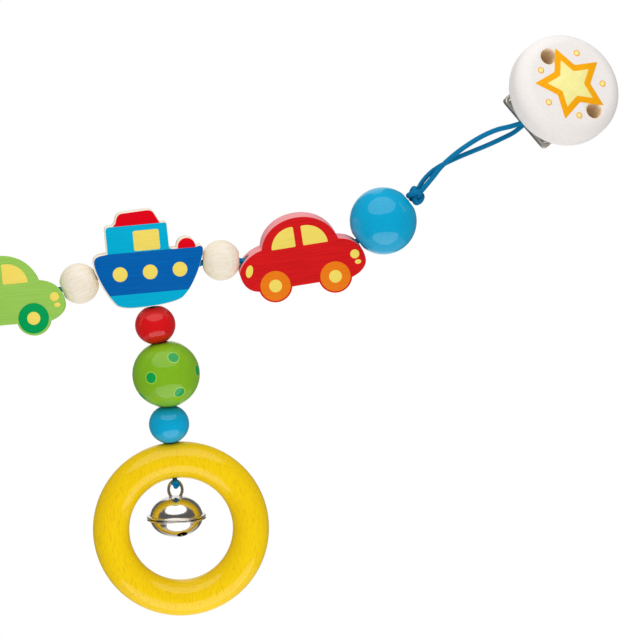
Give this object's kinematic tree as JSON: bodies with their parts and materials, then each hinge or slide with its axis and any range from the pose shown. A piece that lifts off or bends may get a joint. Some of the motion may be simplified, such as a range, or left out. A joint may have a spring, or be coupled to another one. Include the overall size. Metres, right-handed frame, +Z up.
{
  "type": "pram hanging toy",
  "caption": "Wooden pram chain on elastic cord: turned balls and beads, cut-out cars and boat, a hanging ring with a bell, and a spring clip with a wooden disc at each end.",
  "frame": {"origin": "middle of the line between the two clips' bail bars, where the chain is hung across the pram", "axes": "+X along the chain towards the clip that the cars face, +Y from the front to the back of the cut-outs, +Z up"},
  "size_m": [0.323, 0.0305, 0.1766],
  "materials": {
    "natural_wood": "bare wood, waxed",
    "blue_lacquer": "gloss lacquer",
    "red_lacquer": "gloss lacquer",
    "green_lacquer": "gloss lacquer with darker spots",
    "yellow_stain": "clear coloured stain, satin",
    "red_paint": "printed and painted, satin",
    "green_paint": "printed and painted, satin",
    "boat_paint": "printed and painted, satin",
    "white_lacquer": "satin lacquer with a printed star",
    "cord": "braided elastic",
    "nickel": "polished nickel plate",
    "grip": "moulded, ribbed"
  },
  "bodies": {
    "clips": {"right_clip_base": "nickel", "right_clip_grip": "grip", "right_clip_pin": "nickel", "left_clip_base": "nickel", "left_clip_grip": "grip", "left_clip_pin": "nickel"},
    "right_clip": {"right_clip_lever": "nickel", "right_clip_rivet": "nickel", "right_clip_disc": "white_lacquer"},
    "left_clip": {"left_clip_lever": "nickel", "left_clip_rivet": "nickel", "left_clip_disc": "white_lacquer"},
    "chain": {"chain_cord_front": "cord", "chain_cord_back": "cord", "right_cord_loop": "cord", "left_cord_loop": "cord", "right_knot": "cord", "left_knot": "cord"},
    "right_ball": {"right_blue_ball": "blue_lacquer"},
    "left_ball": {"left_blue_ball": "blue_lacquer"},
    "right_bead": {"right_natural_bead": "natural_wood"},
    "left_bead": {"left_natural_bead": "natural_wood"},
    "red_toy_car": {"red_car": "red_paint"},
    "green_toy_car": {"green_car": "green_paint"},
    "toy_boat": {"boat": "boat_paint", "pendant_tie": "cord"},
    "pendant": {"pendant_cord": "cord"},
    "top_bead": {"red_bead": "red_lacquer"},
    "middle_ball": {"spotted_ball": "green_lacquer"},
    "bottom_bead": {"blue_bead": "blue_lacquer"},
    "ring": {"grasping_ring": "yellow_stain"},
    "bell_tie": {"bell_knot": "cord"},
    "bell": {"bell_crown": "nickel", "bell_bowl": "nickel", "bell_wire_loop": "nickel"},
    "pellet": {"bell_pellet": "nickel"}
  },
  "joints": [
    {"name": "right_clip_open", "type": "hinge", "parent": "clips", "child": "right_clip", "pos_m": [0.14726, 0.00884, 0.01019], "axis": [-0.541, 0.142, 0.829], "range_deg": [0, 60]},
    {"name": "left_clip_open", "type": "hinge", "parent": "clips", "child": "left_clip", "pos_m": [-0.14726, 0.00884, 0.01019], "axis": [-0.541, -0.142, -0.829], "range_deg": [0, 60]},
    {"name": "chain_swing", "type": "hinge", "parent": "clips", "child": "chain", "pos_m": [0, 0, 0], "axis": [1, 0, 0], "range_deg": [-25, 25]},
    {"name": "right_ball_spin", "type": "hinge", "parent": "chain", "child": "right_ball", "pos_m": [0.07904, 0, -0.02605], "axis": [0.853, 0, 0.522], "continuous": true},
    {"name": "right_bead_spin", "type": "hinge", "parent": "chain", "child": "right_bead", "pos_m": [0.02416, 0, -0.03226], "axis": [0.9945, 0, -0.1049], "continuous": true},
    {"name": "left_ball_spin", "type": "hinge", "parent": "chain", "child": "left_ball", "pos_m": [-0.07768, 0, -0.02761], "axis": [0.853, 0, -0.522], "continuous": true},
    {"name": "left_bead_spin", "type": "hinge", "parent": "chain", "child": "left_bead", "pos_m": [-0.02308, 0, -0.03396], "axis": [0.9703, 0, 0.2421], "continuous": true},
    {"name": "red_car_roll", "type": "hinge", "parent": "chain", "child": "red_toy_car", "pos_m": [0.05054, 0, -0.03326], "axis": [0.9995, 0, 0.033], "range_deg": [-10, 10]},
    {"name": "green_car_roll", "type": "hinge", "parent": "chain", "child": "green_toy_car", "pos_m": [-0.04899, 0, -0.03476], "axis": [0.9996, 0, -0.03], "range_deg": [-10, 10]},
    {"name": "boat_roll", "type": "hinge", "parent": "chain", "child": "toy_boat", "pos_m": [0, 0, -0.03276], "axis": [0.9994, 0, -0.035], "range_deg": [-12, 12]},
    {"name": "pendant_swing", "type": "hinge", "parent": "toy_boat", "child": "pendant", "pos_m": [0, 0, -0.04456], "axis": [0, 1, 0], "range_deg": [-12, 12]},
    {"name": "red_bead_spin", "type": "hinge", "parent": "pendant", "child": "top_bead", "pos_m": [0, 0, -0.05076], "axis": [0, 0, 1], "continuous": true},
    {"name": "spotted_ball_spin", "type": "hinge", "parent": "pendant", "child": "middle_ball", "pos_m": [0.0015, 0, -0.06746], "axis": [0, 0, 1], "continuous": true},
    {"name": "blue_bead_spin", "type": "hinge", "parent": "pendant", "child": "bottom_bead", "pos_m": [0.0004, 0, -0.08416], "axis": [0, 0, 1], "continuous": true},
    {"name": "ring_turn", "type": "hinge", "parent": "pendant", "child": "ring", "pos_m": [0, 0, -0.11956], "axis": [0, 0, 1], "continuous": true},
    {"name": "bell_sway", "type": "hinge", "parent": "ring", "child": "bell_tie", "pos_m": [0, 0, -0.10236], "axis": [0, 1, 0], "range_deg": [-15, 15]},
    {"name": "bell_swing", "type": "hinge", "parent": "bell_tie", "child": "bell", "pos_m": [0, 0, -0.10326], "axis": [0.9962, 0, -0.087], "range_deg": [-40, 40]},
    {"name": "pellet_rattle", "type": "slide", "parent": "bell", "child": "pellet", "axis": [0.087, 0, 0.9962], "range_m": [-0.0004, 0.0056]}
  ]
}
